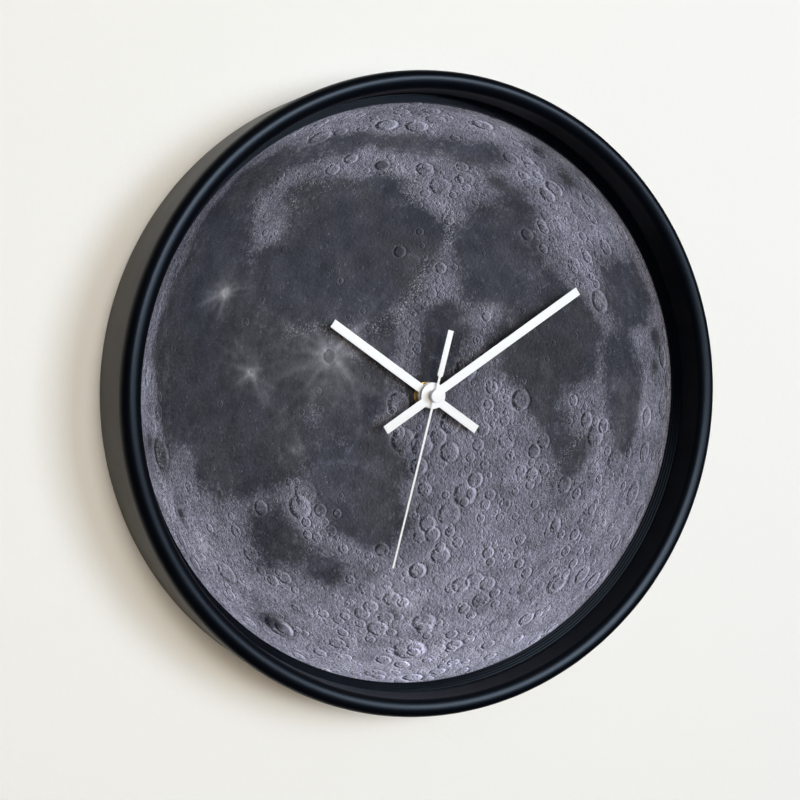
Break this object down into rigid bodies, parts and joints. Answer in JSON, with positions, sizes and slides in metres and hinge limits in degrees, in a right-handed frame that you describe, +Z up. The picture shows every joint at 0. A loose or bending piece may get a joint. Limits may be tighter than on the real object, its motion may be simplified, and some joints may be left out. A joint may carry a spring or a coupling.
{
  "type": "wall clock",
  "caption": "Round wall clock in a deep black case with a full-moon print as its dial, white baton hands and a quartz movement behind a recessed board.",
  "frame": {"origin": "the point it hangs from: the top of the hanger's keyhole slot, on the wall's surface, 40 mm above the hands' axis", "axes": "+Z up the wall, +Y into the wall along the hands' axis, +X to the right of someone who reads the clock"},
  "size_m": [0.3, 0.0462, 0.3],
  "materials": {
    "satin_black_plastic": "satin black moulding",
    "moon_print": "matte print of the full moon",
    "hardboard": "brown hardboard",
    "zinc_steel": "zinc plate",
    "nickel_iron": "nickel plate",
    "brass": "turned brass",
    "copper_wire": "enamelled copper wire",
    "black_rubber": "soft black rubber",
    "black_plastic": "matte black moulding",
    "black_epoxy": "glossy black resin",
    "circuit_board": "green circuit board",
    "dark_ferrite": "dark grey sintered magnet",
    "battery_wrap": "plain dark sleeve",
    "white_acetal": "white acetal moulding",
    "white_enamel": "matte white paint",
    "white_gloss": "white cap"
  },
  "bodies": {
    "clock": {"case_frame": "satin_black_plastic", "dial_print": "moon_print", "dial_board": "hardboard", "board_screw_1": "zinc_steel", "board_screw_2": "zinc_steel", "board_screw_3": "zinc_steel", "board_screw_4": "zinc_steel", "board_screw_5": "zinc_steel", "board_screw_6": "zinc_steel", "threaded_bushing": "brass", "brass_washer": "brass", "hex_nut": "brass", "rubber_washer": "black_rubber", "hanger": "zinc_steel", "movement_case": "black_plastic", "movement_cover": "black_plastic", "train_plate": "white_acetal", "stator": "nickel_iron", "coil_core": "nickel_iron", "coil_bobbin": "white_acetal", "coil_winding": "copper_wire", "circuit_board": "circuit_board", "driver_chip": "black_epoxy", "quartz_crystal": "zinc_steel", "contact_positive": "nickel_iron", "contact_negative": "nickel_iron", "battery_spring": "zinc_steel"},
    "seconds": {"second_hand": "white_enamel", "centre_cap": "white_gloss", "seconds_wheel": "white_acetal"},
    "minutes": {"minute_hand": "white_enamel", "centre_wheel": "white_acetal"},
    "hours": {"hour_hand": "white_enamel", "hour_wheel": "white_acetal"},
    "third": {"third_wheel": "white_acetal"},
    "step": {"step_wheel": "white_acetal"},
    "rotor": {"rotor_pinion": "white_acetal", "rotor_magnet": "dark_ferrite"},
    "motion": {"motion_wheel": "white_acetal"},
    "setting": {"setting_pinion": "white_acetal", "setting_knob": "white_acetal"},
    "battery": {"battery_cell": "battery_wrap"}
  },
  "joints": [
    {"name": "second_spin", "type": "hinge", "parent": "clock", "child": "seconds", "pos_m": [0, -0.0234, -0.04], "axis": [0, 1, 0], "continuous": true},
    {"name": "minute_spin", "type": "hinge", "parent": "clock", "child": "minutes", "pos_m": [0, -0.0234, -0.04], "axis": [0, 1, 0], "continuous": true},
    {"name": "hour_spin", "type": "hinge", "parent": "clock", "child": "hours", "pos_m": [0, -0.0234, -0.04], "axis": [0, 1, 0], "continuous": true},
    {"name": "third_spin", "type": "hinge", "parent": "clock", "child": "third", "pos_m": [-0.00883, -0.009, -0.0349], "axis": [0, 1, 0], "continuous": true},
    {"name": "step_spin", "type": "hinge", "parent": "clock", "child": "step", "pos_m": [0.0039, -0.007, -0.03324], "axis": [0, 1, 0], "continuous": true},
    {"name": "rotor_spin", "type": "hinge", "parent": "clock", "child": "rotor", "pos_m": [0.0074, -0.007, -0.02718], "axis": [0, 1, 0], "continuous": true},
    {"name": "motion_spin", "type": "hinge", "parent": "clock", "child": "motion", "pos_m": [0.00624, -0.013, -0.0436], "axis": [0, 1, 0], "continuous": true},
    {"name": "setting_spin", "type": "hinge", "parent": "clock", "child": "setting", "pos_m": [0.01344, -0.008, -0.0436], "axis": [0, 1, 0], "continuous": true},
    {"name": "battery_slide", "type": "slide", "parent": "clock", "child": "battery", "axis": [0, 1, 0], "range_m": [0, 0.016]}
  ],
  "couplings": [
    {"joint": "minute_spin", "follows": "second_spin", "ratio": 0.016667},
    {"joint": "hour_spin", "follows": "second_spin", "ratio": 0.0013889},
    {"joint": "third_spin", "follows": "second_spin", "ratio": -0.13333},
    {"joint": "step_spin", "follows": "second_spin", "ratio": -5},
    {"joint": "rotor_spin", "follows": "second_spin", "ratio": 30},
    {"joint": "motion_spin", "follows": "second_spin", "ratio": -0.0055556},
    {"joint": "setting_spin", "follows": "second_spin", "ratio": 0.016667}
  ]
}
